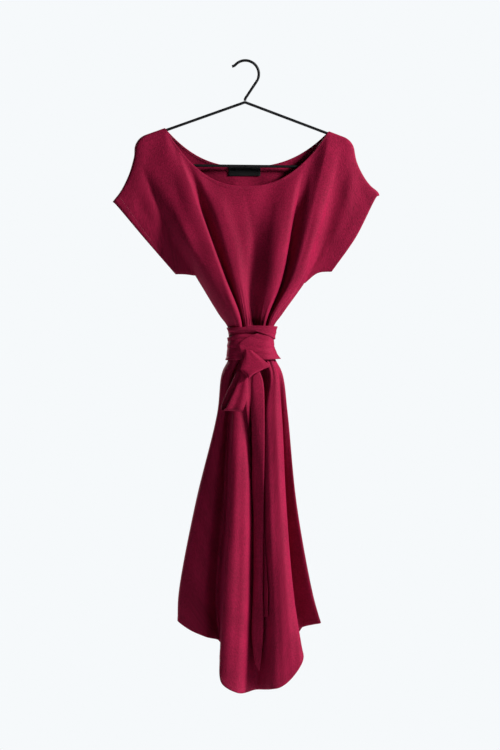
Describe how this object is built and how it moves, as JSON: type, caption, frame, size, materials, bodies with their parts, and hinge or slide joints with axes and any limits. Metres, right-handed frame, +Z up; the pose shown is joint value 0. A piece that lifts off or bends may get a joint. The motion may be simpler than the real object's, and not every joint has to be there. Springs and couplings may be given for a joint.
{
  "type": "short-sleeved silk dress with tie sash on a wire hanger",
  "caption": "Dark red silk dress with cut-on cap sleeves, gathered at the waist by a tied sash and hung on a black wire hanger.",
  "frame": {"origin": "inner top of the hanger's hook, the point that rests on a rail", "axes": "+Z up along the hanging dress, +X to the viewer's right across the shoulders, -Y towards the viewer: the dress faces -Y"},
  "size_m": [0.5018, 0.1236, 1.1891],
  "materials": {
    "silk": "matt satin silk",
    "black_paint": "satin black paint on wire",
    "black_label": "woven tape"
  },
  "bodies": {
    "root": {"back_bodice": "silk", "back_skirt": "silk", "front_bodice": "silk", "front_skirt": "silk", "hanger_frame": "black_paint", "hanger_hook": "black_paint", "neck_label": "black_label", "sash_flap": "silk", "sash_loop": "silk", "sash_tail_long": "silk", "sash_tail_short": "silk", "sash_wrap_cross": "silk", "sash_wrap_lower": "silk", "sash_wrap_upper": "silk"}
  },
  "joints": []
}
